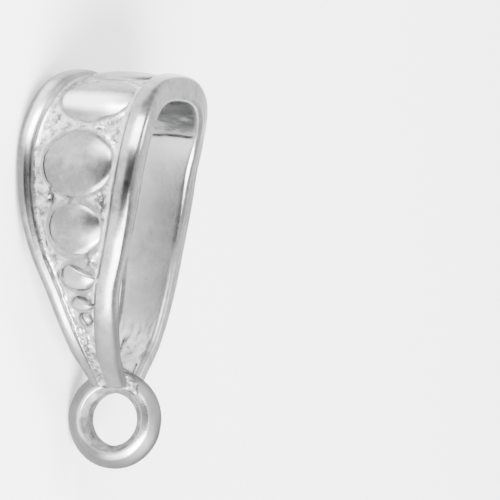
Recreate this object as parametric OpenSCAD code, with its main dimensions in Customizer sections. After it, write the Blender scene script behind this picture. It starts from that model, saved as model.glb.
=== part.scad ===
// Pendant bail: a tapered band bent into a teardrop loop, with a small closed ring
// soldered between its two ends. Raised rounded rims run along both edges of the band,
// and graduated domed discs stand in the recessed field between them.
// Stored lying on its side, as it rests by itself: the loop's length lies along X with
// the ring toward +X, the discs' side (front) faces -Y, and the cord axis stands along Z.

/* [Loop] */
// Depth of the loop from front to back, outside
loop_depth = 10.4; // [8:0.1:16]
// Length of the loop from its top to the cut ends of the band
loop_length = 13.05; // [11:0.05:18]
// Thickness of the band from inner face to rim top
band_thick = 1.1; // [0.8:0.05:1.8]
// Width of the band over both rims at its widest
band_width = 5.55; // [4.4:0.05:9]
// Sideways set of the front end of the band, toward the far side
front_set = 0.12; // [0:0.02:0.5]
// Sideways set of the back shoulder of the band, the other way
back_set = 0.16; // [0:0.02:0.3]

/* [Rims and field] */
// Width of each rounded rim
rim_width = 0.94; // [0.4:0.02:1]
// Width of the far rim low on the front, as a share of the other one's
far_rim = 0.65; // [0.5:0.05:1]
// Depth of the sunk field below the rim tops
field_depth = 0.34; // [0.2:0.02:0.5]

/* [Discs] */
// Diameter of the largest disc
disc_dia = 3.4; // [2.6:0.05:3.8]
// Height of the disc tops below the rim tops
disc_drop = 0.02; // [0:0.01:0.1]

/* [Ring] */
// Outer diameter of the ring
ring_dia = 4.15; // [3.6:0.05:5.2]
// Diameter of the ring's hole
hole_dia = 2.2; // [1.6:0.05:2.6]
// Width of the ring from front to back
ring_width = 1.15; // [0.9:0.05:1.8]
// Lean of the ring, its bottom toward the front, in degrees
ring_lean = 4; // [0:0.5:8]

/* [Lie] */
// Turn about Y that lays the rims and the ring level, in degrees
lie_pitch = 2.87; // [0:0.01:6]
// Turn about X that lays front and back rims level, in degrees
lie_roll = -2.36; // [-5:0.01:3]

/* [Hidden] */
silver = [0.80, 0.80, 0.81];
rows_per_step = 6;            // stations swept between two rows of the table
half_depth = loop_depth / 2;
half_width = band_width / 2;
ring_r = ring_dia / 2;
hole_r = hole_dia / 2;
ring_z = -loop_length + 0.57 - ring_r;   // ring centre below the loop's top
inner_z = -loop_length + 0.49; // flat where ring and solder close the loop's inside
ring_x = 0.06;                // ring centre aside from the middle
ring_y = 0.10;                // ring centre behind the middle of the loop
whole_length = loop_length - 0.57 + ring_dia;
// Shift that puts the middle of the lying part's base at the origin
rest_shift = [0.0578 - whole_length / 2, 0.0395, half_width - 0.0258];

// Table of the loop, from the back end over the top to the front end.
// Columns: out from the middle as a share of half the depth (front is minus),
// down from the top as a share of the length, half width as a share of half the
// widest width, thickness as a share of band_thick, field depth as a share.
OUT = 0; DOWN = 1; WIDE = 2; THICK = 3; SUNK = 4;
loop_table = [
  [ 0.13, 1.045, 0.33, 0.72, 0.00],
  [ 0.33, 0.975, 0.34, 0.73, 0.10],
  [ 0.53, 0.905, 0.365, 0.76, 0.50],
  [ 0.71, 0.81, 0.39, 0.82, 0.90],
  [ 0.85, 0.70, 0.42, 0.92, 1.00],
  [ 0.945, 0.58, 0.45, 1.02, 1.00],
  [ 0.995, 0.455, 0.51, 1.09, 1.00],
  [ 0.995, 0.335, 0.58, 1.12, 1.00],
  [ 0.935, 0.225, 0.71, 1.10, 1.00],
  [ 0.80, 0.128, 0.845, 1.09, 1.00],
  [ 0.60, 0.055, 0.91, 1.08, 1.00],
  [ 0.34, 0.013, 0.93, 1.08, 1.00],
  [ 0.00, 0.00, 0.93, 1.07, 1.00],
  [-0.34, 0.013, 0.95, 1.05, 1.00],
  [-0.60, 0.055, 0.98, 1.02, 1.00],
  [-0.80, 0.128, 1.00, 1.05, 1.00],
  [-0.935, 0.225, 0.99, 1.10, 1.00],
  [-0.995, 0.335, 0.95, 1.12, 1.00],
  [-0.995, 0.455, 0.88, 1.09, 1.00],
  [-0.945, 0.58, 0.745, 1.02, 1.00],
  [-0.85, 0.70, 0.57, 0.92, 1.00],
  [-0.71, 0.81, 0.46, 0.82, 0.90],
  [-0.53, 0.905, 0.375, 0.76, 0.60],
  [-0.33, 0.975, 0.285, 0.73, 0.25],
  [-0.13, 1.045, 0.23, 0.72, 0.00]
];
last_row = len(loop_table) - 1;

// Discs, from the top down the front.
// Columns: place along the table in rows, diameter as a share of disc_dia, set sideways.
disc_table = [
  [11.7, 1.00, 0.01], [14.1, 0.95, 0.11], [16.52, 0.92, 0], [18.35, 0.70, -0.03],
  [19.62, 0.42, -0.03], [20.37, 0.25, 0.02], [20.84, 0.16, 0.04]
];

// Value of one column at a place along the table, smooth through every row
function row(i) = loop_table[max(0, min(last_row, i))];
function smooth(a, b, c, d, t) =
  b + 0.5 * t * (c - a + t * (2 * a - 5 * b + 4 * c - d + t * (3 * (b - c) + d - a)));
function at(s, col) = let (i = min(last_row - 1, floor(s)), t = s - i)
  smooth(row(i - 1)[col], row(i)[col], row(i + 1)[col], row(i + 2)[col], t);

// Point of the outer line at a place, as [y, z], its outward direction and its sizes
function outer(s) = [half_depth * at(s, OUT), -loop_length * at(s, DOWN)];
function along(s) = let (d = outer(min(last_row, s + 0.02)) - outer(max(0, s - 0.02))) d / norm(d);
function outward(s) = let (d = along(s)) [d[1], -d[0]];
function half_w(s) = half_width * at(s, WIDE);
function thick(s) = band_thick * at(s, THICK);
function rim_r(s) = min(rim_width / 2, 0.42 * half_w(s));
function sunk(s) = min(field_depth * at(s, SUNK), 0.5 * thick(s));
function ease(a, b, s) = let (t = max(0, min(1, (s - a) / (b - a)))) t * t * (3 - 2 * t);
function side_set(s) = front_set * ease(17.5, 22, s) - back_set * ease(0.5, 4.5, s) * ease(11, 8, s);

// Half of the band's section at a place, [across, out], from the middle of the field
// over the rim to the middle of the inner face
function half_section(s, r) = let (
  w = half_w(s), c = w - r, f = sunk(s), t = thick(s),
  e = 0.24 * min(1, w / 0.8), k = min(0.9 * r, f))
  concat(
    [[0, -f], [(c - r) * 0.6, -f]],
    [for (a = [168 : -24 : 0]) [c + r * cos(a), a > 90 ? -max(k, 0.05) * (1 - sin(a)) : -r * (1 - sin(a))]],
    [[w, -0.5 * (r + t - e)]],
    [for (a = [0 : 30 : 90]) [w - e + e * cos(a), -t + e - e * sin(a)]],
    [[0, -t]]);
function section(s) = let (near = half_section(s, rim_r(s)), n = len(near),
  far = half_section(s, rim_r(s) * (1 - (1 - far_rim) * ease(14, 17, s))))
  concat(near, [for (i = [n - 2 : -1 : 1]) [-far[i][0], far[i][1]]]);

// The band: sections placed along the outer line and skinned
module band() {
  n = last_row * rows_per_step;
  m = len(section(0));
  pts = [for (j = [0 : n]) let (s = j / rows_per_step, p = outer(s), o = outward(s), x = side_set(s))
    for (q = section(s)) [x + q[0], p[0] + o[0] * q[1], p[1] + o[1] * q[1]]];
  skin = [for (j = [0 : n - 1]) for (i = [0 : m - 1])
    let (a = j * m + i, b = j * m + (i + 1) % m)
    each [[a, b, b + m], [a, b + m, a + m]]];
  caps = [[for (i = [m - 1 : -1 : 0]) i], [for (i = [0 : m - 1]) n * m + i]];
  polyhedron(pts, concat(skin, caps), 10);
}

// The band with both ends cut off flat, the front end a little lower than the back one
module trimmed_band() {
  difference() {
    band();
    translate([-3, -4, -loop_length - 3.1]) cube([6, 4, 3]);
    translate([-3, 0, -loop_length - 2.85]) cube([6, 4, 3]);
  }
}

// Radius of the outer line's bend at a place
function bend_r(s) = let (a = along(s - 0.5), b = along(s + 0.5),
  turn = asin(min(1, abs(a[0] * b[1] - a[1] * b[0]))))
  norm(outer(s + 0.5) - outer(s - 0.5)) / (2 * sin(max(turn, 2) / 2));

// One disc: a round pebble whose domed top follows the bend of the band
module disc(s, d, off) {
  p = outer(s);
  o = outward(s);
  tilt = atan2(-o[0], o[1]);
  r = bend_r(s) - disc_drop;
  dome = 3.2 * d;
  translate([side_set(s) + off, p[0], p[1]]) rotate([tilt, 0, 0]) intersection() {
    translate([0, 0, -field_depth - 0.25]) cylinder(d = d, h = field_depth + 0.4, $fn = 64);
    translate([0, 0, -disc_drop - r]) rotate([0, 90, 0]) rotate_extrude($fn = 180) difference() {
      intersection() {
        translate([r - dome, 0]) circle(r = dome, $fn = 120);
        translate([0.2, -d]) square([r, 2 * d]);
      }
      translate([0, -d - 1]) square([max(0.3, r - 1.6), 2 * d + 2]);
    }
  }
}

module discs() {
  for (k = disc_table) disc(k[0], k[1] * disc_dia, k[2]);
}

// The ring: a thick wire with a flat wall inside the hole
module ring() {
  soft = min(0.5, 0.5 * (ring_r - hole_r));
  edge = min(0.28, 0.25 * (ring_r - hole_r));
  translate([ring_x, ring_y, ring_z]) rotate([90 - ring_lean, 0, 0]) rotate_extrude($fn = 96)
    translate([hole_r, -ring_width / 2]) {
      w = ring_r - hole_r;
      translate([edge, 0]) square([w - edge - soft, ring_width]);
      translate([0, edge]) square([w - soft, ring_width - 2 * edge]);
      translate([w - soft, soft]) square([soft, ring_width - 2 * soft]);
      for (y = [edge, ring_width - edge]) translate([edge, y]) circle(r = edge, $fn = 32);
      for (y = [soft, ring_width - soft]) translate([w - soft, y]) circle(r = soft, $fn = 48);
    }
}

// Solder: bridges from the ring to both band ends, and lumps beside the front end
module solder() {
  translate([-0.15, -0.88, -loop_length - 0.05]) cube([0.72, 1.1, 1]);
  translate([-0.55, 0, -loop_length + 0.2]) cube([1.1, 0.84, 1]);
  for (k = [[0.66, 1.70, 0.30], [0.92, 1.46, 0.24], [1.12, 1.22, 0.20], [0.74, 1.40, 0.22]])
    translate([k[0], ring_y - ring_width / 2 + 0.17, ring_z + k[1]]) sphere(r = k[2], $fn = 32);
}

// Ring and solder, filed flat inside the loop
module ring_end() {
  difference() {
    union() {
      ring();
      solder();
    }
    translate([-1.5, -2, inner_z]) cube([3, 4, 2]);
  }
}

module bail() {
  color(silver) translate(rest_shift)
    rotate([lie_roll, 0, 0]) rotate([0, lie_pitch, 0]) rotate([0, -90, 0]) union() {
      trimmed_band();
      discs();
      ring_end();
    }
}

bail();
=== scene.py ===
import math

import bmesh
import bpy
import numpy as np
from mathutils import Matrix, Vector, noise


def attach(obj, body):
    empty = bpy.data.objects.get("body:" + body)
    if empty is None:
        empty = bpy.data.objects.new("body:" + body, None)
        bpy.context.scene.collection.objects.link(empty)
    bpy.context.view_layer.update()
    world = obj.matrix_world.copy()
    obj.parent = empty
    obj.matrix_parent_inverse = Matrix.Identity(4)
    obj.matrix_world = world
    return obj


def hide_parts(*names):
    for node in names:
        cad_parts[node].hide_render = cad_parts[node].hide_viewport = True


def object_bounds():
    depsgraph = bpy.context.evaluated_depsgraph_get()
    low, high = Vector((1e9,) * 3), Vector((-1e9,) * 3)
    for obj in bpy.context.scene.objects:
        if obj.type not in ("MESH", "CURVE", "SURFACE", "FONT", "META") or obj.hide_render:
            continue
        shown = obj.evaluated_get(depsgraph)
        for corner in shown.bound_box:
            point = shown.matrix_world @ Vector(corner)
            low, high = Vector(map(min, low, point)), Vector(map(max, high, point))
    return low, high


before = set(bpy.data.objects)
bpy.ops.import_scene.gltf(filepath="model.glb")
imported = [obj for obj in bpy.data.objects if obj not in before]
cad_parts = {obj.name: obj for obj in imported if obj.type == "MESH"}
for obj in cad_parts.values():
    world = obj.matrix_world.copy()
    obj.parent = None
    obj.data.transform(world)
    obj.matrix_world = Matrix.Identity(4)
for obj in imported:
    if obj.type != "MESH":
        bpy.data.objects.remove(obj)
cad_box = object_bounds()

MM = 0.001

# Driving sizes, in mm and degrees
LOOP_DEPTH = 10.4    # from front to back, outside
LOOP_LENGTH = 13.05  # from the loop's top to the cut ends of the band
BAND_THICK = 1.1     # from inner face to rim top
BAND_WIDTH = 5.55    # over both rims at its widest
FRONT_SET = 0.12     # sideways set of the front end, toward the near side
BACK_SET = 0.16      # sideways set of the back shoulder, the other way
RIM_WIDTH = 0.94
FAR_RIM = 0.65       # width of the far rim low on the front, as a share of the near one's
FIELD_DEPTH = 0.34   # below the rim tops
DISC_DIA = 3.4       # of the largest disc
DISC_DROP = 0.02     # disc tops below the rim tops
RING_DIA = 4.15
HOLE_DIA = 2.2
RING_WIDTH = 1.15    # from front to back
RING_LEAN = 4.0      # its bottom toward the front
LIE_PITCH = 2.87     # both turns lay the part level, as it rests by itself
LIE_ROLL = -2.36

HALF_DEPTH, HALF_WIDTH = LOOP_DEPTH / 2, BAND_WIDTH / 2
RING_R, HOLE_R = RING_DIA / 2, HOLE_DIA / 2
# How far the ring and the solder reach up past the loop's length
RING_SEAT, SOLDER_SEAT = 0.57, 0.49
# Heights of the band's cut ends, and of the flat where ring and solder close the loop
FRONT_END, REAR_END = -LOOP_LENGTH - 0.1, -LOOP_LENGTH + 0.15
FLOOR_OF_LOOP = -LOOP_LENGTH + SOLDER_SEAT
# The ring's centre
RING_X, RING_Y, RING_Z = 0.06, 0.10, -LOOP_LENGTH + RING_SEAT - RING_R
# Shift that puts the middle of the lying part's base at the origin
WHOLE_LENGTH = LOOP_LENGTH - RING_SEAT + RING_DIA
REST_SHIFT = Vector((0.0578 - WHOLE_LENGTH / 2, 0.0395, HALF_WIDTH - 0.0258))

# The loop from the back end over the top to the front end: out from the middle and
# down from the top, half width, thickness and field depth, all as shares.
OUT, DOWN, WIDE, THICK, SUNK = range(5)
LOOP_TABLE = np.array([
    [0.13, 1.045, 0.33, 0.72, 0.00],
    [0.33, 0.975, 0.34, 0.73, 0.10],
    [0.53, 0.905, 0.365, 0.76, 0.50],
    [0.71, 0.81, 0.39, 0.82, 0.90],
    [0.85, 0.70, 0.42, 0.92, 1.00],
    [0.945, 0.58, 0.45, 1.02, 1.00],
    [0.995, 0.455, 0.51, 1.09, 1.00],
    [0.995, 0.335, 0.58, 1.12, 1.00],
    [0.935, 0.225, 0.71, 1.10, 1.00],
    [0.80, 0.128, 0.845, 1.09, 1.00],
    [0.60, 0.055, 0.91, 1.08, 1.00],
    [0.34, 0.013, 0.93, 1.08, 1.00],
    [0.00, 0.00, 0.93, 1.07, 1.00],
    [-0.34, 0.013, 0.95, 1.05, 1.00],
    [-0.60, 0.055, 0.98, 1.02, 1.00],
    [-0.80, 0.128, 1.00, 1.05, 1.00],
    [-0.935, 0.225, 0.99, 1.10, 1.00],
    [-0.995, 0.335, 0.95, 1.12, 1.00],
    [-0.995, 0.455, 0.88, 1.09, 1.00],
    [-0.945, 0.58, 0.745, 1.02, 1.00],
    [-0.85, 0.70, 0.57, 0.92, 1.00],
    [-0.71, 0.81, 0.46, 0.82, 0.90],
    [-0.53, 0.905, 0.375, 0.76, 0.60],
    [-0.33, 0.975, 0.285, 0.73, 0.25],
    [-0.13, 1.045, 0.23, 0.72, 0.00],
])
LAST_ROW = len(LOOP_TABLE) - 1
# Stretches set sideways, in rows of the table
FRONT_ASIDE = (17.5, 22)
BACK_ASIDE = (0.5, 4.5, 8, 11)

# Discs: place along the table in rows, diameter as a share of DISC_DIA, set sideways in
# mm, height along the band as a share of the width, and how far the dome sinks, in mm.
DISC_TABLE = [
    (11.7, 1.00, 0.01, 0.98, 0.20), (14.1, 0.97, 0.11, 0.98, 0.30), (16.52, 0.95, 0.0, 0.95, 0.25),
    (18.35, 0.75, -0.03, 0.94, 0.30), (19.62, 0.48, -0.03, 0.84, 0.24),
    (20.37, 0.32, 0.02, 0.74, 0.20), (20.84, 0.20, 0.04, 1.10, 0.16),
]


# The loop's own curve
def at(s, col):
    """One column of the table at places s, smooth through every row."""
    i = np.minimum(LAST_ROW - 1, np.floor(s)).astype(int)
    t = s - i
    a, b, c, d = (LOOP_TABLE[np.clip(i + k, 0, LAST_ROW), col] for k in (-1, 0, 1, 2))
    return b + 0.5 * t * (c - a + t * (2 * a - 5 * b + 4 * c - d + t * (3 * (b - c) + d - a)))


def outer(s):
    """(y, z) of the rims' top line."""
    return HALF_DEPTH * at(s, OUT), -LOOP_LENGTH * at(s, DOWN)


def outward(s):
    """(y, z) of the direction out of the loop."""
    y1, z1 = outer(np.minimum(LAST_ROW, s + 0.02))
    y0, z0 = outer(np.maximum(0, s - 0.02))
    dy, dz = y1 - y0, z1 - z0
    n = np.hypot(dy, dz)
    return dz / n, -dy / n


def half_w(s):
    return HALF_WIDTH * at(s, WIDE)


def thick(s):
    return BAND_THICK * at(s, THICK)


def sunk(s):
    return np.minimum(FIELD_DEPTH * at(s, SUNK), 0.5 * thick(s))


def smoothstep(a, b, x):
    t = np.clip((x - a) / (b - a), 0, 1)
    return t * t * (3 - 2 * t)


def hump(place, span):
    """Rises from 0 to 1 between the first two places of the span, falls between the others."""
    start, full, until, end = span
    return smoothstep(start, full, place) * smoothstep(end, until, place)


def side_set(s):
    return FRONT_SET * smoothstep(*FRONT_ASIDE, s) - BACK_SET * hump(s, BACK_ASIDE)


# Noise and meshes
def fbm(points, scale, octaves, seed):
    """Fractal noise, about -1 to 1, at the rows of points."""
    shift = Vector((seed, 1.7 * seed, -2.3 * seed))
    return np.array([
        noise.fractal(Vector(p) * scale + shift, 0.6, 2.1, octaves, noise_basis="PERLIN_ORIGINAL")
        for p in points
    ])


def cells(points, scale, seed):
    """Distance to the nearest of scattered cell centres, about 0 to 1."""
    shift = Vector((seed, -seed, 2 * seed))
    return np.array([noise.voronoi(Vector(p) * scale + shift)[0][0] for p in points])


def rest_matrix():
    """From the loop's upright frame, in mm, to the row frame, in metres."""
    lie = (Matrix.Rotation(math.radians(LIE_ROLL), 4, "X")
           @ Matrix.Rotation(math.radians(LIE_PITCH), 4, "Y")
           @ Matrix.Rotation(math.radians(-90), 4, "Y"))
    return Matrix.Scale(MM, 4) @ Matrix.Translation(REST_SHIFT) @ lie


REST = rest_matrix()


def grid_faces(rows, cols, closed=False):
    """Quads of a grid of rows by cols points, each row a closed ring of points."""
    r = np.arange(rows if closed else rows - 1)
    i, j = (g.ravel() for g in np.meshgrid(r, np.arange(cols), indexing="ij"))
    i2, j2 = (i + 1) % rows, (j + 1) % cols
    return np.stack([i * cols + j, i * cols + j2, i2 * cols + j2, i2 * cols + j], 1)


def add_piece(name, points, faces, material, masks):
    """A smooth mesh piece from points in the loop's frame, kept inside the measured box."""
    mesh = bpy.data.meshes.new(name)
    m = np.array(REST)
    world = np.clip(np.asarray(points, float) @ m[:3, :3].T + m[:3, 3], *map(np.array, cad_box))
    mesh.from_pydata(world.tolist(), [], [list(map(int, f)) for f in faces])
    mesh.validate()
    mesh.shade_smooth()
    for key, values in masks.items():
        layer = mesh.attributes.new(key, "FLOAT", "POINT")
        layer.data.foreach_set("value", np.asarray(values, np.float32))
    piece = bpy.data.objects.new(name, mesh)
    bpy.context.collection.objects.link(piece)
    mesh.materials.append(material)
    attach(piece, "root")
    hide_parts("bail")
    return piece


# Materials
BRIGHT_SILVER, TARNISHED_SILVER = (0.82, 0.82, 0.823, 1), (0.66, 0.66, 0.664, 1)
# worn places and painted shade are mixed toward this grey
WORN_AND_SHADED_GREY = (0.10, 0.10, 0.101, 1)
GROUND_DARK, GROUND_LIGHT = (0.08, 0.08, 0.082, 1), (0.46, 0.46, 0.464, 1)
# soot and painted shade are mixed toward this black
SOOT_AND_SHADE_BLACK = (0.05, 0.05, 0.05, 1)
POLISH_ROUGH, GROUND_ROUGH, MATTE_ROUGH = (0.19, 0.30), (0.18, 0.36), 0.62
# Noises of the metal: cells in a metre, octaves, roughness
CLOUDS, FINE, GRAIN = (260, 4, 0.6), (2600, 5, 0.7), (6500, 3, 0.6)
GRAIN_HEIGHT = 0.03 * MM
POLISH_GRAIN, GROUND_GRAIN = 0.06, 0.6      # strength of the grain's relief
WEAR_GRAIN = 0.09                           # how far the wear varies
MOST_TARNISH = 0.4
# Inputs and output that a mix node uses for numbers and for colours
MIX_SOCKETS = {"FLOAT": ((0, 2, 3), 0), "RGBA": ((0, 6, 7), 2)}


def feed(tree, socket, value):
    """Gives a socket its value, or links it to the output that stands for it."""
    if isinstance(value, bpy.types.NodeSocket):
        tree.links.new(value, socket)
    else:
        socket.default_value = value


def attribute(tree, name):
    node = tree.nodes.new("ShaderNodeAttribute")
    node.attribute_name = name
    return node.outputs["Fac"]


def noise_value(tree, coords, scale, detail, rough):
    node = tree.nodes.new("ShaderNodeTexNoise")
    for key, value in (("Scale", scale), ("Detail", detail), ("Roughness", rough), ("Vector", coords)):
        feed(tree, node.inputs[key], value)
    return node.outputs["Fac"]


def ramp(tree, source, taken, given):
    """The source's values over the range taken, spread over the range given."""
    node = tree.nodes.new("ShaderNodeMapRange")
    for key, value in zip(("From Min", "From Max", "To Min", "To Max"), (*taken, *given)):
        node.inputs[key].default_value = value
    tree.links.new(source, node.inputs["Value"])
    return node.outputs["Result"]


def add(tree, a, b, clamp=False):
    node = tree.nodes.new("ShaderNodeMath")
    node.operation, node.use_clamp = "ADD", clamp
    for socket, value in zip(node.inputs, (a, b)):
        feed(tree, socket, value)
    return node.outputs["Value"]


def mix(tree, kind, factor, a, b):
    node = tree.nodes.new("ShaderNodeMix")
    node.data_type = kind
    inputs, output = MIX_SOCKETS[kind]
    for socket, value in zip(inputs, (factor, a, b)):
        feed(tree, node.inputs[socket], value)
    return node.outputs[output]


def silver_colour(tree, cloudy, fine, masks):
    """Bright to tarnished polish, grey where worn and in painted shade, speckled where rough, black
    where sooty and in painted shade.
    """
    tarnish = ramp(tree, cloudy, (0.42, 0.7), (0.0, MOST_TARNISH))
    bright = mix(tree, "RGBA", tarnish, BRIGHT_SILVER, TARNISHED_SILVER)
    grain = ramp(tree, fine, (0.3, 0.7), (-WEAR_GRAIN, WEAR_GRAIN))
    bright = mix(tree, "RGBA", add(tree, masks["wear_and_painted_light"], grain, clamp=True), bright, WORN_AND_SHADED_GREY)
    speckle = ramp(tree, fine, (0.40, 0.62), (0.0, 1.0))
    dull = mix(tree, "RGBA", speckle, GROUND_DARK, GROUND_LIGHT)
    metal = mix(tree, "RGBA", masks["ground"], bright, dull)
    return mix(tree, "RGBA", masks["soot_and_shade"], metal, SOOT_AND_SHADE_BLACK)


def silver_roughness(tree, cloudy, fine, masks):
    polish = ramp(tree, cloudy, (0.35, 0.7), POLISH_ROUGH)
    rough = ramp(tree, fine, (0.3, 0.7), GROUND_ROUGH)
    rough = mix(tree, "FLOAT", masks["ground"], polish, rough)
    return mix(tree, "FLOAT", masks["matte"], rough, MATTE_ROUGH)


def grain_normal(tree, grain, masks):
    bump = tree.nodes.new("ShaderNodeBump")
    bump.inputs["Distance"].default_value = GRAIN_HEIGHT
    tree.links.new(grain, bump.inputs["Height"])
    strength = mix(tree, "FLOAT", masks["ground"], POLISH_GRAIN, GROUND_GRAIN)
    tree.links.new(strength, bump.inputs["Strength"])
    return bump.outputs["Normal"]


def silver_material():
    """Silver with worn polish. Attributes: 'ground' is rough and sparkling, 'wear' runs from
    bright polish and painted highlights (0) to worn grey and painted shade (1), 'soot' is the
    black left in pits and lines and painted shade, 'matte' is how far the polish is gone."""
    mat = bpy.data.materials.new("silver")
    mat.use_nodes = True
    tree = mat.node_tree
    inputs = tree.nodes["Principled BSDF"].inputs
    masks = {name: attribute(tree, name) for name in ("ground", "wear_and_painted_light", "soot_and_shade", "matte")}
    coords = tree.nodes.new("ShaderNodeTexCoord").outputs["Object"]
    cloudy, fine, grain = (noise_value(tree, coords, *form) for form in (CLOUDS, FINE, GRAIN))
    feed(tree, inputs["Metallic"], 1.0)
    feed(tree, inputs["Base Color"], silver_colour(tree, cloudy, fine, masks))
    feed(tree, inputs["Roughness"], silver_roughness(tree, cloudy, fine, masks))
    feed(tree, inputs["Normal"], grain_normal(tree, grain, masks))
    return mat


FLOOR_WHITE = (0.93, 0.93, 0.93, 1)
FLOOR_ROUGH, FLOOR_SHINE = 0.9, 0.1


def floor_material():
    mat = bpy.data.materials.new("floor")
    mat.use_nodes = True
    shader = mat.node_tree.nodes["Principled BSDF"]
    shader.inputs["Base Color"].default_value = FLOOR_WHITE
    shader.inputs["Roughness"].default_value = FLOOR_ROUGH
    shader.inputs["Specular IOR Level"].default_value = FLOOR_SHINE
    return mat


# The band
BAND_STEPS = 18      # stations between two rows of the table
FIELD_POINTS = 46    # points across the field
RIM_POINTS = 20      # points over each rim
SIDE_POINTS = 6      # points down each side
CORNER_POINTS = 8    # points round each inner corner
INNER_POINTS = 24    # points across the inner face
SIDE_BULGE = 0.05    # how far each side swells between rim and inner corner
RIM_CROWN = 2.15     # 2 is a round rim, more is a flatter crown
FAR_CROWN = 2.3      # the same for the far rim
FAR_LEAN = 0.34      # how far its crown leans toward the field, as a share of its radius
RIM_FACET = 16       # turn of the facet worn along the near rim's crown, in degrees
FAR_FACET = 22       # the same along the far rim, toward the field
RIM_WORN = 0.045     # how deep that facet is worn, in mm
RIM_SHARE = 0.46     # greatest radius of a rim, as a share of the band's half width
INNER_CORNER = 0.24  # radius of the inner corners
NARROW = 0.8         # half width below which these corners shrink with the band, in mm
LIP_ANGLE = 165      # where each rim's round starts at the field, in degrees
LIP_DROP = 0.9       # its greatest drop there, as a share of its radius
LIP_GROUND = 0.45    # how rough it is there
LIP_RAMP = (2.1, 2.8)    # angles where that roughness starts and is full, in radians
FACET_HALF = 0.75    # half the width of the worn facets, in radians
INNER_GROUND = 0.15  # how rough the inner face is
FIELD_ROUGH = 0.05   # height of the field's rough ground, in mm
SHORE_CALM = 0.6     # how far that ground calms down toward the far rim
FOOT_FILLET = 0.05   # rise of the field round each disc's foot, in mm
# How far out from each disc's foot the ground is calm, rises and has painted shade, in mm
CALM_REACH, FILLET_REACH, SHADE_REACH = 0.16, 0.12, 0.10
BAND_UNEVEN = 0.010  # slight unevenness of the band's width, in mm
ROW_MM = 1.35        # about the length of a row along the band
DISC_ROW_MM = 1.45   # the same beside the discs
# Worn line across the inside of the back shoulder: its row, width in rows and depth in mm
GROOVE_ROW, GROOVE_WIDTH, GROOVE_DEPTH = 8.60, 0.045, 0.035
# Stretches of the band, in rows: where each starts, is full, is full to and ends
UNDER_TOP = (8.3, 9.3, 13.0, 16.0)       # inner face under the top, in shade
SHADED_TOP_BLOTS = (8.8, 9.4, 13.0, 16.0)       # painted shade in blots there
PAINTED_LIGHT_BELOW_LINE = (5.5, 7.8, GROOVE_ROW - 0.15, GROOVE_ROW)     # inner face painted lighter
PAINTED_DARK_CROWN = (15.9, 16.6, 17.4, 18.2)    # painted dark reflection on both rims beside disc 3
PAINTED_DULL_CROWN = (12.5, 13.2, 14.8, 15.6)    # painted shade on both rims beside disc 2
FAR_PAINTED_HIGHLIGHT = (13.3, 14.0, 15.6, 16.1)    # painted highlight on the far rim's crest, beside disc 2
FAR_PAINTED_DARK = (16.1, 16.6, 17.4, 17.9)      # painted dark reflection on the far rim's crest, beside disc 3
# Painted shade of the gap over the ring's rear, a dark line: height above the loop's floor,
# slant, width, and where it starts, front to back
GAP_UP, GAP_SLANT, GAP_WIDTH, GAP_FROM = 0.09, 0.34, 0.06, -0.1
# Ramps along the band, in rows: where each starts and is full
FAR_NARROWER = (14, 17)                  # far rim, down the front
FRONT_GREY, FOOT_GREY = (16, 18), (20.3, 21.5)       # both rims, greyer down the front
NEAR_BARE, FAR_BARE = (20.3, 21.1), (21.3, 22.2)     # near and far rim, without polish
FOOT_ROUGH = (20.6, 21.8)                # both rims near the front end
REAR_PAINTED_LIGHT = (6.0, 2.5)                 # inner face painted lighter toward the rear end
SOLDER_ROWS, SOLDER_BRIGHT = (3.0, 1.9), (3.1, 2.0)  # solder run up the inner face
LIP_MATTE = (13.8, 12.8)                 # far rim's lip, toward the top
REAR_MATTE = (5.5, 4.0)                  # near rim, toward the rear end
# Ramps across the far rim, in its radii from the far edge: where each starts and is full
FAR_FLANK, FAR_LIP = (1.3, 0.5), (1.1, 1.7)
FAR_CREST, FAR_CREST_END = (0.6, 1.0), (1.7, 1.3)
FIELD_EDGE = (0.84, 1.0)                 # out from the field's middle, as a share of its half
# Ramps across the band, as shares of its half width: the field's far shore, the rims' crowns
SHORE, CROWN = (0.45, 0.85), (1.0, 0.93)
# Dark pits in the field: across, row, size, depth
PITS = [(-1.13, 17.38, 0.06, 0.08), (-1.08, 17.60, 0.08, 0.09), (1.16, 17.46, 0.08, 0.09),
        (1.22, 17.66, 0.06, 0.08), (-0.25, 17.42, 0.08, 0.05), (0.50, 19.15, 0.06, 0.06)]
PIT_LENGTH = 2.4     # of each pit along the band, as a share of its size across


def rim_radius(s, side):
    near = np.minimum(RIM_WIDTH / 2, RIM_SHARE * half_w(s))
    return near if side > 0 else near * (1 - (1 - FAR_RIM) * smoothstep(*FAR_NARROWER, s))


def from_far_edge(s, across):
    """How far in from the band's far edge, in radii of the far rim."""
    return (across + half_w(s)[:, None]) / rim_radius(s, -1)[:, None]


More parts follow.
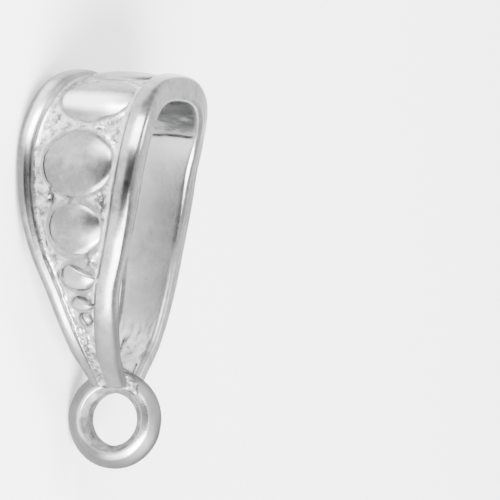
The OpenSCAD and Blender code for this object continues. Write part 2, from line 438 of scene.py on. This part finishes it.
def band_edge(s, side):
    """Points from the field's lip over one rim and down the side to the inner face."""
    w, t, f = half_w(s), thick(s), sunk(s)
    r, e = rim_radius(s, side), INNER_CORNER * np.minimum(1, w / NARROW)
    crown, facet, leaning = ((RIM_CROWN, RIM_FACET, 0) if side > 0
                             else (FAR_CROWN, -FAR_FACET, FAR_LEAN))
    flat = 2 / crown
    chain = []
    for a in np.linspace(math.radians(LIP_ANGLE), 0, RIM_POINTS):
        drop = np.minimum(LIP_DROP * r, f) if a > math.pi / 2 else r
        reach = math.copysign(abs(math.cos(a)) ** flat, math.cos(a))
        off = a - math.radians(90 - facet)
        worn = RIM_WORN * max(0.0, 1 - (off / FACET_HALF) ** 2) ** 2
        lean = leaning * (1 - reach * reach)
        chain.append((side * (w - r + (r - worn) * reach - lean * r),
                      -drop * (1 - math.sin(a) ** flat) - worn * math.sin(a),
                      LIP_GROUND * smoothstep(*LIP_RAMP, a) + 0 * s))
    for u in np.linspace(0, 1, SIDE_POINTS + 2)[1:-1]:
        swell = SIDE_BULGE * (math.sin(math.pi * u) - 1) * u
        chain.append((side * (w + swell), -r - (t - e - r) * u, 0 * s))
    for a in np.linspace(0, math.pi / 2, CORNER_POINTS):
        chain.append((side * (w - e + e * np.cos(a)), -t + e - e * np.sin(a), 0 * s))
    return chain


def band_section(s):
    """Across, out, ground, field and inner masks of the section's points at places s."""
    f, t = sunk(s), thick(s)
    near, far = band_edge(s, 1), band_edge(s, -1)
    lip_near, lip_far = near[0][0], far[0][0]
    points = []
    for u in np.linspace(0, 1, FIELD_POINTS)[1:-1]:
        edge = smoothstep(*FIELD_EDGE, abs(2 * u - 1))
        points.append((lip_far + (lip_near - lip_far) * u, -f * (1 - 0.1 * edge),
                       1 - 0.5 * edge + 0 * s, 1 - edge + 0 * s, 0 * s))
    points += [(x, z, g, 0 * s, 0 * s) for x, z, g in near]
    inner_near, inner_far = near[-1][0], far[-1][0]
    for u in np.linspace(0, 1, INNER_POINTS + 2)[1:-1]:
        points.append((inner_near + (inner_far - inner_near) * u, -t,
                       INNER_GROUND + 0 * s, 0 * s, 1 + 0 * s))
    points += [(x, z, g, 0 * s, 0 * s) for x, z, g in reversed(far)]
    return [np.stack(column, 1) for column in zip(*points)]


def disc_feet(s, across, reach):
    """1 at the foot of each disc, falling off within reach outside it."""
    near = 0 * across
    for place, share, aside, tall, _ in DISC_TABLE:
        along = (s[:, None] - place) * DISC_ROW_MM / tall
        away = np.hypot(across - aside, along) - share * DISC_DIA / 2
        near = np.maximum(near, np.exp(-(np.maximum(away, 0) / reach) ** 2))
    return near


def rough_ground(spots, ground):
    """Heights of the field's rough ground: fine noise, broad noise and small hollows."""
    heights = np.zeros(len(spots))
    live = ground > 0.01
    at_live = spots[live]
    heights[live] = FIELD_ROUGH * ground[live] * (
        fbm(at_live, 6.0, 4, 3.1) + fbm(at_live, 1.5, 2, 8.2)
        - smoothstep(0.17, 0.0, cells(at_live, 2.2, 1.3)))
    return heights


def dark_pits(spots, ground):
    """Heights of the ragged pits, and how sooty they are."""
    heights, soot_and_shade = np.zeros(len(spots)), np.zeros(len(spots))
    ragged = 1 + 0.5 * np.sin(19 * spots[:, 0] + 17 * spots[:, 1])
    for x, row, size, depth in PITS:
        away = np.hypot(spots[:, 0] - x, (spots[:, 1] - ROW_MM * row) / PIT_LENGTH) / size
        heights -= ground * depth * np.exp(-(away * ragged) ** 2)
        soot_and_shade = np.maximum(soot_and_shade, ground * np.exp(-(0.6 * away * ragged) ** 4))
    return heights, soot_and_shade


def worn_line(s, across, inner):
    """The worn line across the inside: 1 along its middle, 0 away from it."""
    wavy = 0.05 * np.sin(2 * across) + 0.012 * np.sin(11 * across)
    return inner * np.exp(-((s[:, None] - GROOVE_ROW - wavy) / GROOVE_WIDTH) ** 2)


def painted_top_shade(s, spots, inner):
    """Painted shade in blots on the inner face under the top."""
    blot = fbm(spots * (0.9, 1.6, 1.0), 1.3, 3, 2.9).reshape(inner.shape)
    return 0.75 * inner * hump(s, SHADED_TOP_BLOTS)[:, None] * np.clip(0.32 + 1.1 * blot, 0, 1)


def solder_reach(s, inner):
    """1 where solder ran up the inside of the rear end, 0 away from it."""
    return inner * smoothstep(*SOLDER_ROWS, s)[:, None]


def solder_run(s, spots, inner):
    """Heights of the solder that ran up the inside of the rear end."""
    low = solder_reach(s, inner)
    rough = np.zeros(len(spots))
    live = low.ravel() > 0.01
    rough[live] = (0.014 * fbm(spots[live] * (1.0, 0.45, 1.0), 5.0, 2, 5.5)
                   + 0.026 * fbm(spots[live] * (1.0, 0.5, 1.0), 1.6, 2, 3.7))
    return low * rough.reshape(inner.shape)


def band_relief(s, across, field, inner):
    """Small heights on the band, and how sooty and shaded it is: rough ground, pits, worn line,
    solder, and painted shade under the top.
    """
    along = np.repeat(s[:, None] * ROW_MM, across.shape[1], 1)
    spots = np.stack([across, along, 0 * across], -1).reshape(-1, 3)
    shore = smoothstep(*SHORE, -across / half_w(s)[:, None])
    ground = (field * at(s, SUNK)[:, None] * (1 - SHORE_CALM * shore)).ravel()
    pits, soot_and_shade = dark_pits(spots, ground)
    relief = (rough_ground(spots, ground) + pits).reshape(across.shape)
    relief *= 1 - 0.8 * disc_feet(s, across, CALM_REACH)
    relief += FOOT_FILLET * field * disc_feet(s, across, FILLET_REACH)
    line = worn_line(s, across, inner)
    relief += GROOVE_DEPTH * line + solder_run(s, spots, inner)
    soot_and_shade = np.maximum(soot_and_shade.reshape(across.shape), painted_top_shade(s, spots, inner))
    return relief, np.maximum(soot_and_shade, line)


def blotches(across, rows, stretch, scale, seed):
    """Fractal noise over the band, its cells shrunk by stretch, across and along."""
    spots = np.stack([stretch[0] * across, stretch[1] * rows, 0 * across], -1)
    return fbm(spots.reshape(-1, 3), scale, 3, seed).reshape(across.shape)


def rim_painted_light(s, across):
    """Painted shade and highlights: how much greyer or brighter parts of the rims, the far rim's outer
    flank among them, are than the rest of the skin.
    """
    rows = s[:, None]
    inward = from_far_edge(s, across)
    crown = smoothstep(*CROWN, abs(across) / half_w(s)[:, None])
    far_crest = (across < 0) * smoothstep(*FAR_CREST, inward)
    return (0.24 * smoothstep(*FAR_FLANK, inward)
            + crown * (0.18 * hump(rows, PAINTED_DARK_CROWN) + 0.12 * hump(rows, PAINTED_DULL_CROWN))
            - 0.40 * far_crest * hump(rows, FAR_PAINTED_HIGHLIGHT)
            + 0.15 * far_crest * smoothstep(*FAR_CREST_END, inward) * hump(rows, FAR_PAINTED_DARK))


def band_wear_and_painted_light(s, across, field, inner):
    """Where the band is greyer: inside, with painted shade darkest under its top and round the discs'
    feet, and painted light on the rims and on stretches of the inner face.
    """
    rows = s[:, None] + 0 * across
    blotch = blotches(across, rows, (1.0, 1.2), 1.1, 9.4)
    streak = blotches(across, rows, (0.9, 2.1), 1.5, 2.9)
    solder = blotches(across, rows, (2.4, 1.0), 1.6, 7.1)
    # painted shade on the inner face under the top, in streaks
    under_top = hump(rows, UNDER_TOP) * (0.38 + 0.5 * np.clip(streak, -0.6, 0.4))
    wear_and_painted_light = inner * (0.65 + under_top - 0.20 * hump(rows, PAINTED_LIGHT_BELOW_LINE)
                    - 0.10 * smoothstep(*REAR_PAINTED_LIGHT, rows) + 0.09 * blotch)
    skin = (1 - inner) * (1 - field)
    wear_and_painted_light += skin * (0.74 + 0.07 * blotch + 0.06 * smoothstep(*FRONT_GREY, rows)
                    + 0.10 * smoothstep(*FOOT_GREY, rows) + rim_painted_light(s, across))
    # painted shade round the discs' feet
    wear_and_painted_light = np.maximum(wear_and_painted_light, field * disc_feet(s, across, SHADE_REACH))
    wear_and_painted_light -= 0.6 * inner * smoothstep(*SOLDER_BRIGHT, rows) * np.clip(0.4 + solder, 0, 1)
    return np.clip(wear_and_painted_light, 0, 1)


def band_bare(s, across):
    """1 where the polish is gone at the rims' lower ends, on the near and the far one."""
    rows = s[:, None]
    return np.where(across > 0, smoothstep(*NEAR_BARE, rows), smoothstep(*FAR_BARE, rows))


def band_matte(s, across):
    """How matte the rims are: at their lower ends, the far one's lip, the rear end's edge."""
    rows = s[:, None]
    far_lip = (across < 0) * smoothstep(*FAR_LIP, from_far_edge(s, across))
    far_lip = far_lip * (0.12 + 0.38 * smoothstep(*LIP_MATTE, rows))
    rear_edge = 0.45 * smoothstep(*REAR_MATTE, rows) * (across > 0)
    return np.maximum(np.maximum(band_bare(s, across), far_lip), rear_edge)


def painted_gap_shade(points):
    """Painted shade of the gap between the rear end of the band and the ring, a slanted dark line."""
    line = FLOOR_OF_LOOP + GAP_UP - GAP_SLANT * (points[:, 0] - RING_X)
    return np.exp(-((points[:, 2] - line) / GAP_WIDTH) ** 2) * (points[:, 1] > GAP_FROM)


def band_masks(s, across, field, inner, ground, soot_and_shade, gap):
    """The material's attributes over the band."""
    wear_and_painted_light = band_wear_and_painted_light(s, across, field, inner)
    low = solder_reach(s, inner)
    skin = (1 - inner) * (1 - field)
    ground = (ground + 0.3 * low) * (1 - 0.7 * wear_and_painted_light * (1 - low))
    ground += 0.20 * skin * smoothstep(*FOOT_ROUGH, s)[:, None]
    # painted shade of the rear gap on the inner face, and the rims blacker at their lower ends
    soot_and_shade = np.maximum(np.maximum(soot_and_shade, gap * inner), 0.40 * skin * band_bare(s, across))
    masks = {"ground": np.clip(ground, 0, 1), "wear_and_painted_light": wear_and_painted_light, "soot_and_shade": soot_and_shade,
             "matte": skin * band_matte(s, across)}
    return {key: values.ravel() for key, values in masks.items()}


def band_stations():
    """Places along the band, closer together at the worn line and near the rear end."""
    s = np.sort(np.concatenate([np.linspace(0, LAST_ROW, LAST_ROW * BAND_STEPS + 1),
                                np.linspace(GROOVE_ROW - 0.16, GROOVE_ROW + 0.16, 25),
                                np.linspace(0.8, 1.6, 49)]))
    return s[np.append(True, np.diff(s) > 0.004)]


def build_band(material):
    s = band_stations()
    across, out, ground, field, inner = band_section(s)
    y, z = outer(s)
    oy, oz = outward(s)
    relief, soot_and_shade = band_relief(s, across, field, inner)
    out = out + relief
    points = np.stack([side_set(s)[:, None] + across, y[:, None] + oy[:, None] * out,
                       z[:, None] + oz[:, None] * out], -1).reshape(-1, 3)
    points[:, 0] += BAND_UNEVEN * fbm(points, 0.8, 2, 2.2) * np.sign(across.ravel())
    # held to the band's width, and both ends cut off flat
    points[:, 0] = np.clip(points[:, 0], -HALF_WIDTH, HALF_WIDTH)
    points[:, 2] = np.maximum(points[:, 2], np.where(points[:, 1] < 0, FRONT_END, REAR_END))
    rows, cols = across.shape
    faces = [list(f) for f in grid_faces(rows, cols)]
    faces.append(list(range(cols - 1, -1, -1)))
    faces.append([(rows - 1) * cols + k for k in range(cols)])
    gap = painted_gap_shade(points).reshape(across.shape)
    masks = band_masks(s, across, field, inner, ground, soot_and_shade, gap)
    return add_piece("band", points, faces, material, masks)


# The discs
DISC_RINGS, DISC_SPOKES, EDGE_RINGS = 36, 112, 15
DISC_EDGE = 0.30     # width of each disc's rounded edge, in mm
DISC_FOOT = 0.06     # how far each disc's foot lies below the field, in mm
DISC_RELIEF = 0.008  # of its faint unevenness, in mm
DOME_POWER = 2.2     # 2 is a round dome, more is flatter in the middle
# Waves of the discs' outlines: number round it, shift, and height as a share of the radius
DISC_WAVES = [(2, 1.0, 0.014), (3, 2.1, 0.012), (7, 1.3, 0.006)]
# Wear and painted light of each disc: at its top, its middle and its bottom, down the band's front
DISC_WEAR_AND_PAINTED_LIGHT = [(0.78, 0.78, 0.78), (0.87, 0.0, 0.88), (0.89, 1.0, 0.94), (0.95, 0.92, 0.25),
             (0.82, 0.70, 0.80), (0.84, 0.74, 0.84), (0.95, 0.95, 0.95)]
# Cracks in the small discs: disc, direction across them in degrees from the near side
# toward the front end, distance from the middle, depth, and drop of the part beyond, in mm
CRACKS = [(5, -62, 0.36, 0.09, 0.30), (6, -60, 0.20, 0.08, 0.30), (7, -22, 0.0, 0.06, 0.03)]
CRACK_WIDTH = 0.035
MATTE_FROM = 6       # the first of the discs that are matte all over
# Ramps down each disc, in its radii: to its middle's wear and painted light, to its bottom's, and,
# where its bottom has a painted highlight, to the foot of its near side
TO_MIDDLE, TO_BOTTOM, NEAR_FOOT = (-0.15, 0.12), (0.36, 0.62), (0.62, 0.80)


def disc_outline(number, theta):
    """How far the disc's outline wobbles about a circle, 1 on the circle."""
    return 1 + sum(height * np.sin(waves * theta + shift * number)
                   for waves, shift, height in DISC_WAVES)


def disc_cracks(number, x, v):
    """Depth of the disc's crack and of what is broken off, how sooty the crack is, and where it is
    broken.
    """
    depth, soot_and_shade, broken = 0 * x, 0 * x, 0 * x
    for cracked, turn, away, deep, drop in CRACKS:
        if cracked == number:
            t = math.radians(turn)
            gap = (x * math.cos(t) + v * math.sin(t) - away) / CRACK_WIDTH
            broken = smoothstep(0, 2, gap)
            depth = deep * np.exp(-gap ** 2) + drop * broken
            soot_and_shade = 0.9 * np.exp(-gap ** 2)
    return depth, soot_and_shade.ravel(), broken.ravel()


def disc_masks(number, down, aside, cloud, soot_and_shade, broken):
    """The material's attributes over one disc."""
    top, middle, bottom = DISC_WEAR_AND_PAINTED_LIGHT[number - 1]
    bent = down + 0.25 * aside ** 2
    # painted highlights and shade down the disc: low values bright, high ones grey
    wear_and_painted_light = np.interp(bent, TO_MIDDLE, (top, middle)) + 0.07 * cloud
    if bottom < middle:
        wear_and_painted_light += (bottom - middle) * smoothstep(*NEAR_FOOT, down + 0.6 * aside)
    else:
        wear_and_painted_light += (bottom - middle) * smoothstep(*TO_BOTTOM, bent)
    matte = 0.16 * smoothstep(0.1, 0.6, aside) * smoothstep(0.35, 0.05, down)
    if number >= MATTE_FROM:
        matte = 0.5 + 0 * aside
    return {"ground": 0.05 + 0.6 * broken, "soot_and_shade": soot_and_shade,
            "wear_and_painted_light": np.clip(wear_and_painted_light + 0.15 * broken, 0, 1), "matte": matte}


def disc_points(number, place, dia, off, tall, dome):
    """A pebble's skin, laid along the band: domed top, rounded edge, foot in the field."""
    radius = dia / 2
    step = 0.05
    ends = outer(np.array([place - step, place + step]))
    per_row = float(np.hypot(*(np.diff(e)[0] for e in ends))) / (2 * step)
    soft = min(DISC_EDGE, 0.5 * radius) / radius
    rounding = np.linspace(0, math.pi / 2, EDGE_RINGS)[1:]
    rho = np.concatenate([np.linspace(0, 1 - soft, DISC_RINGS - EDGE_RINGS),
                          1 - soft * (1 - np.sin(rounding))])
    theta = np.linspace(0, 2 * math.pi, DISC_SPOKES, endpoint=False)
    wobble = disc_outline(number, theta)
    p, q = np.meshgrid(rho, theta, indexing="ij")
    x = p * radius * wobble * np.cos(q)
    v = p * radius * wobble * np.sin(q) * tall
    edge = np.clip((p - (1 - soft)) / soft, 0, 1)
    rise = FIELD_DEPTH + DISC_FOOT - DISC_DROP - dome
    h = -DISC_DROP - dome * p ** DOME_POWER - rise * (1 - np.sqrt(np.maximum(0, 1 - edge ** 2)))
    depth, soot_and_shade, broken = disc_cracks(number, x, v)
    flat = np.stack([x, v, 0 * x + 3.3 * number], -1).reshape(-1, 3)
    h = (h - depth).ravel() + DISC_RELIEF * (fbm(flat, 1.4, 2, number) - 1)
    s = (place + v / per_row).ravel()
    y, z = outer(s)
    oy, oz = outward(s)
    points = np.stack([side_set(s) + off + x.ravel(), y + oy * h, z + oz * h], 1)
    cloud = fbm(flat, 0.9, 3, 2.5 * number)
    masks = disc_masks(number, (v / radius).ravel() - 0.1, (x / radius).ravel(), cloud, soot_and_shade, broken)
    return points, grid_faces(len(rho), DISC_SPOKES)[:, ::-1], masks


def build_discs(material):
    for number, (place, share, *form) in enumerate(DISC_TABLE, 1):
        points, faces, masks = disc_points(number, place, share * DISC_DIA, *form)
        add_piece(f"disc_{number}", points, faces, material, masks)


# Ring and solder
RING_STEPS, ROUND_STEPS = 176, 13
CREST = 0.31         # where the wire is widest, out from the hole, as a share of its thickness
# Its inner and outer corners: reach as a share of half its width, and power, of which 1 is
# an ellipse and 2 a straight chamfer
INNER_REACH, OUTER_REACH = 0.5, 0.9
INNER_POWER, OUTER_POWER = 1.7, 1.28
# Zones of the wire, as shares of its thickness out from the hole
CREST_HIGHLIGHT = (0.23, 0.31, 0.38, 0.46)    # painted highlight on the far side of the hole
CRESCENT_HIGHLIGHT = (0.33, 0.41, 0.56, 0.66)      # painted highlight on the near side
MATTE_INSIDE = (0.37, 0.29)
MATTE_OUTSIDE = (0.57, 0.68)
HIGHLIGHT_TURN = 30     # how far below the middle the near side's polish and painted highlight lie, in degrees
HOLE_WALL = 0.02     # what lies nearer than this to the hole is its wall, in mm
RING_DENTS = 0.012   # of its shallow dents, in mm
DENTS_FROM = 0.4     # share of the thickness out from the hole that has none


def ring_outline():
    """The wire's section: out from the hole's wall, and along the hole."""
    wire, half = RING_R - HOLE_R, RING_WIDTH / 2
    crest, inner_reach, outer_reach = CREST * wire, INNER_REACH * half, OUTER_REACH * half
    outside = (wire - crest, outer_reach, OUTER_POWER)
    inside = (crest, inner_reach, INNER_POWER)
    corners = ((half - outer_reach, 0, outside), (half - inner_reach, 90, inside),
               (inner_reach - half, 180, inside), (outer_reach - half, 270, outside))

    def bent(value, power):
        return math.copysign(abs(value) ** power, value) if abs(value) > 1e-9 else 0.0

    return np.array([(crest + rx * bent(math.cos(math.radians(a)), power),
                      middle + ry * bent(math.sin(math.radians(a)), power))
                     for middle, start, (rx, ry, power) in corners
                     for a in np.linspace(start, start + 90, ROUND_STEPS)])


def ring_masks(turn, share, cloud):
    """The material's attributes over the ring: turn round it, share out from the hole."""
    highlight_side = np.cos(turn + math.radians(HIGHLIGHT_TURN))
    wall = share * (RING_R - HOLE_R) < HOLE_WALL
    matte = smoothstep(*MATTE_INSIDE, share) + 0 * turn
    outside = smoothstep(*MATTE_OUTSIDE, share) + 0 * turn
    near = smoothstep(0.1, 0.7, highlight_side)
    # polish with painted highlights: a crescent on the near side, a line along the crest on the far
    # side
    polish_and_painted_highlight = (0.60 * near * hump(share, CRESCENT_HIGHLIGHT)
                + 0.55 * smoothstep(0.1, 0.8, -highlight_side) * hump(share, CREST_HIGHLIGHT) * (1 - wall))
    # painted shade: blacker toward the ring's bottom and on its outer slope
    under = smoothstep(0.5, 1.0, -np.sin(turn))
    soot_and_shade = 0.22 + 0.40 * under * (1 - matte) + (0.06 + 0.12 * near) * outside
    return {"ground": np.clip(0.15 + 0.35 * matte - 0.5 * polish_and_painted_highlight, 0, 1).ravel(),
            "soot_and_shade": np.clip(soot_and_shade - 0.8 * polish_and_painted_highlight, 0, 1).ravel(),
            "wear_and_painted_light": np.clip(0.96 + 0.08 * cloud - polish_and_painted_highlight.ravel(), 0, 1),
            "matte": np.clip(0.45 + 0.55 * matte + 0.45 * outside - 1.5 * polish_and_painted_highlight, 0, 1).ravel()}


def build_ring(material):
    lean = math.radians(RING_LEAN)
    outline = ring_outline()
    share = outline[:, 0] / (RING_R - HOLE_R)
    turn = np.linspace(0, 2 * math.pi, RING_STEPS, endpoint=False)[:, None]
    x = (HOLE_R + outline[:, 0]) * np.cos(turn)
    v = (HOLE_R + outline[:, 0]) * np.sin(turn)
    d = outline[:, 1] + 0 * turn
    middle = np.array([RING_X, RING_Y, RING_Z])
    points = middle + np.stack([x, v * math.sin(lean) - d * math.cos(lean),
                                v * math.cos(lean) + d * math.sin(lean)], -1).reshape(-1, 3)
    dents = -RING_DENTS * (1 + fbm(points, 1.1, 2, 7.7)) * np.tile(share > DENTS_FROM, RING_STEPS)
    radial = points - middle
    radial /= np.linalg.norm(radial, axis=1)[:, None]
    points += radial * dents[:, None]
    points[:, 2] = np.minimum(points[:, 2], FLOOR_OF_LOOP)
    faces = grid_faces(RING_STEPS, len(outline), closed=True)[:, ::-1]
    masks = ring_masks(turn, share, fbm(points, 0.8, 3, 6.1))
    return add_piece("ring", points, faces, material, masks)


# Solder, as balls to be fused: across, out of the loop's middle (front is minus),
# above the ring's centre, radius
LUMPS = [
    (0.66, -0.30, 1.70, 0.28), (0.92, -0.32, 1.46, 0.22), (1.10, -0.32, 1.24, 0.18),
    (0.72, -0.34, 1.42, 0.22), (0.80, 0.00, 1.58, 0.26), (0.55, -0.10, 1.72, 0.26),
    (0.20, -0.50, 1.52, 0.24), (-0.15, -0.50, 1.52, 0.24), (0.45, -0.48, 1.50, 0.24),
    (-0.42, -0.44, 1.54, 0.20), (-0.50, -0.10, 1.80, 0.24), (0.10, 0.00, 1.95, 0.34),
    (-0.30, 0.45, 1.90, 0.26), (0.05, 0.50, 1.92, 0.28), (0.38, 0.45, 1.90, 0.26),
    (1.02, -0.20, 1.52, 0.18), (0.60, -0.42, 1.56, 0.16), (0.98, -0.40, 1.34, 0.12),
]
SOLDER_VOXEL = 0.035
SOLDER_EASE, EASE_STEP = 24, 0.7      # rounds of smoothing, and share smoothed in each
SOLDER_RELIEF = 0.018


def fused_lumps():
    """Points, normals and faces of the lumps, fused and smoothed."""
    balls = bmesh.new()
    for x, y, up, r in LUMPS:
        bmesh.ops.create_icosphere(balls, subdivisions=3, radius=r,
                                   matrix=Matrix.Translation((x, y, RING_Z + up)))
    mesh = bpy.data.meshes.new("solder_balls")
    balls.to_mesh(mesh)
    balls.free()
    lumps = bpy.data.objects.new("solder_balls", mesh)
    bpy.context.collection.objects.link(lumps)
    fuse = lumps.modifiers.new("fuse", "REMESH")
    fuse.mode, fuse.voxel_size = "VOXEL", SOLDER_VOXEL
    ease = lumps.modifiers.new("ease", "SMOOTH")
    ease.factor, ease.iterations = EASE_STEP, SOLDER_EASE
    bpy.context.view_layer.update()
    skin = lumps.evaluated_get(bpy.context.evaluated_depsgraph_get()).to_mesh()
    points = np.array([v.co for v in skin.vertices])
    normals = np.array([v.normal for v in skin.vertices])
    faces = [list(p.vertices) for p in skin.polygons]
    bpy.data.objects.remove(lumps, do_unlink=True)
    return points, normals, faces


def build_solder(material):
    """One rough skin of solder between the ring and both ends of the band."""
    points, normals, faces = fused_lumps()
    points += normals * SOLDER_RELIEF * (fbm(points, 2.0, 3, 4.4) - 1 / 3)[:, None]
    points[:, 2] = np.minimum(points[:, 2], FLOOR_OF_LOOP)
    hollow = np.clip(-2.5 * fbm(points, 3.0, 2, 1.4), 0, 1)
    # the rear gap's painted shade carries on over the solder
    masks = {"ground": 0.4 + 0 * hollow, "wear_and_painted_light": 0.80 + 0.20 * hollow,
             "soot_and_shade": np.maximum(0.3 * hollow, painted_gap_shade(points)), "matte": 0.5 + 0 * hollow}
    return add_piece("solder", points, faces, material, masks)


# Floor, light and camera
FLOOR_SIZE = 1.2     # in metres


def build_floor():
    bpy.ops.mesh.primitive_plane_add(size=FLOOR_SIZE, location=(0, 0, 0))
    floor = bpy.context.object
    floor.name = "floor"
    floor.data.materials.append(floor_material())


# Soft patches of the studio's surroundings: direction, cosine where the patch starts
# and is full, and its strength.
SKY = 1.4
SKY_PATCHES = [
    ((-0.02, -0.89, 0.46), (0.78, 0.93), -1.34),
    ((-0.15, 0.90, 0.40), (0.60, 0.98), 1.0),
]


def sky_patch(tree, coords, direction, stops, strength):
    """How much one soft patch adds in each direction."""
    dot = tree.nodes.new("ShaderNodeVectorMath")
    dot.operation = "DOT_PRODUCT"
    dot.inputs[1].default_value = Vector(direction).normalized()
    tree.links.new(coords, dot.inputs[0])
    patch = ramp(tree, dot.outputs["Value"], stops, (0, strength))
    patch.node.interpolation_type = "SMOOTHSTEP"
    return patch


def build_world():
    """A soft studio around the part, darker toward the photographer."""
    world = bpy.data.worlds.new("studio")
    bpy.context.scene.world = world
    world.use_nodes = True
    tree = world.node_tree
    coords = tree.nodes.new("ShaderNodeTexCoord").outputs["Generated"]
    total = SKY
    for patch in SKY_PATCHES:
        total = add(tree, sky_patch(tree, coords, *patch), total)
    tree.links.new(total, tree.nodes["Background"].inputs["Strength"])
    tree.nodes["Background"].inputs["Color"].default_value = (1, 1, 1, 1)


# Softboxes: name, direction from the part, distance, size across and up, in metres,
# and brightness of their face
SOFTBOXES = [
    ("low_side", (0.62, -0.63, 0.46), 0.33, (0.25, 0.30), 42.0),
    ("high_side", (-0.78, -0.55, 0.30), 0.33, (0.19, 0.22), 30.0),
    ("back", (-0.30, 0.30, 0.94), 0.16, (0.06, 0.05), 18.0),
]


def build_lights():
    build_world()
    for name, direction, away, (wide, tall), glow in SOFTBOXES:
        light = bpy.data.lights.new(name, "AREA")
        light.shape = "RECTANGLE"
        light.size, light.size_y = wide, tall
        light.energy = glow * math.pi * wide * tall
        lamp = bpy.data.objects.new(name, light)
        toward = Vector(direction).normalized()
        lamp.location = toward * away
        lamp.rotation_euler = toward.to_track_quat("Z", "Y").to_euler()
        bpy.context.collection.objects.link(lamp)


# Camera, in the loop's upright frame: round from the front, up, roll, all in degrees
VIEW_ROUND, VIEW_UP, VIEW_ROLL = 22.34, 2.5, -2.02
VIEW_AWAY = 382.0                       # mm from the point looked at
VIEW_PIVOT = Vector((0, 0, -6.75))      # seen at PIVOT_PX of a square of FRAME_PX
PIVOT_PX = (119.4, 232.6)
PX_PER_MM = 24.0
FRAME_PX = 500
SENSOR_MM = 36


def build_camera():
    a, e, roll = (math.radians(v) for v in (VIEW_ROUND, VIEW_UP, VIEW_ROLL))
    back = Vector((math.sin(a) * math.cos(e), -math.cos(a) * math.cos(e), math.sin(e)))
    right = Vector((math.cos(a), math.sin(a), 0))
    up = back.cross(right)
    # the picture's own axes after the roll
    pic_right = right * math.cos(roll) - up * math.sin(roll)
    pic_up = right * math.sin(roll) + up * math.cos(roll)
    place = VIEW_PIVOT + back * VIEW_AWAY
    middle = (VIEW_PIVOT + pic_right * (FRAME_PX / 2 - PIVOT_PX[0]) / PX_PER_MM
              - pic_up * (FRAME_PX / 2 - PIVOT_PX[1]) / PX_PER_MM)
    z = (place - middle).normalized()
    x = pic_up.cross(z).normalized()
    y = z.cross(x)
    turn = Matrix((x, y, z)).transposed().to_4x4()
    data = bpy.data.cameras.new("camera")
    data.sensor_width = SENSOR_MM
    data.lens = PX_PER_MM * SENSOR_MM * (place - middle).length / FRAME_PX
    data.clip_start, data.clip_end = 0.01, 10
    cam = bpy.data.objects.new("camera", data)
    bpy.context.collection.objects.link(cam)
    pose = REST @ (Matrix.Translation(place) @ turn)
    loc, rot, _ = pose.decompose()
    cam.matrix_world = Matrix.LocRotScale(loc, rot, Vector((1, 1, 1)))
    bpy.context.scene.camera = cam


silver = silver_material()
build_band(silver)
build_discs(silver)
build_ring(silver)
build_solder(silver)
build_floor()
build_lights()
build_camera()
